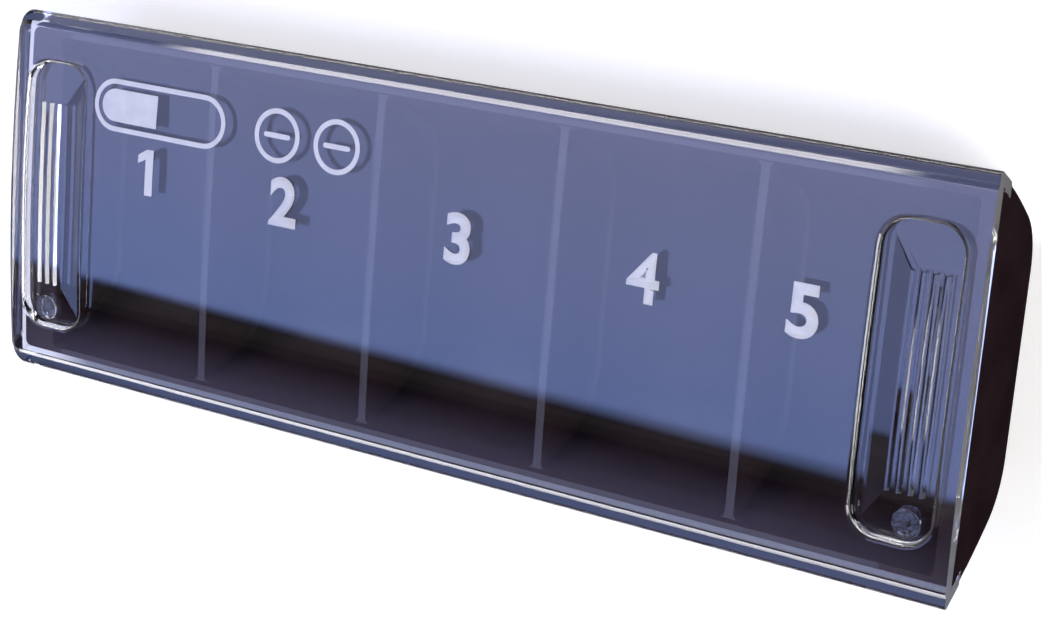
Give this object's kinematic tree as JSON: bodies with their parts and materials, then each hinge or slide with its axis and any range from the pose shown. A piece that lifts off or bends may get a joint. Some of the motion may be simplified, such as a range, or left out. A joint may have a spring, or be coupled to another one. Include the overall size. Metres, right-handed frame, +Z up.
{
  "type": "daily pill organizer",
  "caption": "Slim pocket pill box: dark tray with a row of scooped compartments under a clear lid that slides off lengthwise on dovetail rails, with ribbed finger wells at both ends.",
  "frame": {"origin": "middle of the flat base of the closed box", "axes": "+X along the box towards the lid's open end, +Y across it, +Z up out of the window"},
  "size_m": [0.114, 0.0412, 0.0151],
  "materials": {
    "tray_plastic": "very dark aubergine moulded plastic, satin to glossy",
    "lid_clear": "clear polished styrene, faintly cool",
    "print_ink": "opaque pale grey pad print on the lid's window"
  },
  "bodies": {
    "tray": {"tray": "tray_plastic"},
    "lid": {"lid": "lid_clear"}
  },
  "joints": [
    {"name": "lid_slide", "type": "slide", "parent": "tray", "child": "lid", "axis": [-1, 0, 0], "range_m": [0, 0.108]}
  ]
}
